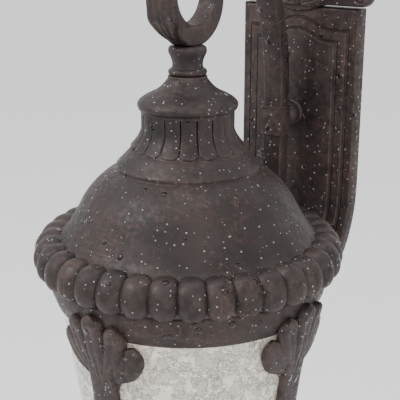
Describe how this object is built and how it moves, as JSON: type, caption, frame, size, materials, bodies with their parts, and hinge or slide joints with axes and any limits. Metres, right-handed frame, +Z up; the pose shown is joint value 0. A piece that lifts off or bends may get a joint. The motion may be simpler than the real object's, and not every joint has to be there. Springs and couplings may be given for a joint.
{
  "type": "outdoor wall lantern",
  "caption": "Outdoor wall lantern in aged bronze: oval-footed wall plate, crook arm with a scroll ring, beaded domed roof, strap ribs and seeded glass.",
  "frame": {"origin": "centre of the wall plate's back face, on the wall", "axes": "+X to the lantern's right as seen from the wall's front when facing it, +Y into the wall, +Z up; the lantern hangs towards -Y"},
  "size_m": [0.2412, 0.2856, 0.5844],
  "materials": {
    "bronze": "satin",
    "zinc": "satin",
    "ground_green": "satin",
    "lead_jacket": "matt",
    "gasket": "matt",
    "seeded_glass": "gloss",
    "holder_plastic": "matt",
    "candle_ivory": "satin",
    "bulb_glass": "gloss"
  },
  "bodies": {
    "root": {"wall_plate": "bronze", "crest": "bronze", "mounting_bar": "zinc", "fixture_studs": "zinc", "cap_nuts": "bronze", "ground_screw": "ground_green", "arm_post": "bronze", "post_nipple": "zinc", "post_nut": "zinc", "arm_stem": "bronze", "arm_collar": "bronze", "arm_crook": "bronze", "arm_leaf": "bronze", "lamp_lead": "lead_jacket", "stem_pipe": "zinc", "ring_seat": "bronze", "bell_cap": "bronze", "fluted_neck": "bronze", "roof_dome": "bronze", "bead_rim": "bronze", "skirt_ring": "bronze", "pipe_nut": "zinc", "glass_gasket": "gasket", "glass_shade": "seeded_glass", "rib_front": "bronze", "rib_right": "bronze", "rib_rear": "bronze", "rib_left": "bronze", "base_ring": "bronze", "base_bowl": "bronze", "base_screws": "bronze", "tie_rod": "zinc", "cluster_pan": "bronze", "lamp_holders": "holder_plastic", "candle_sleeves": "candle_ivory"},
    "bottom_finial": {"bottom_finial": "bronze"},
    "bulb_1": {"bulb_1": "bulb_glass"},
    "bulb_2": {"bulb_2": "bulb_glass"},
    "bulb_3": {"bulb_3": "bulb_glass"}
  },
  "joints": [
    {"name": "finial_turn", "type": "hinge", "parent": "root", "child": "bottom_finial", "pos_m": [0, -0.165, -0.328], "axis": [0, 0, 1], "continuous": true},
    {"name": "bulb_1_turn", "type": "hinge", "parent": "root", "child": "bulb_1", "pos_m": [0, -0.195, -0.185], "axis": [0, 0, 1], "continuous": true},
    {"name": "bulb_2_turn", "type": "hinge", "parent": "root", "child": "bulb_2", "pos_m": [0.02598, -0.15, -0.185], "axis": [0, 0, 1], "continuous": true},
    {"name": "bulb_3_turn", "type": "hinge", "parent": "root", "child": "bulb_3", "pos_m": [-0.02598, -0.15, -0.185], "axis": [0, 0, 1], "continuous": true}
  ]
}
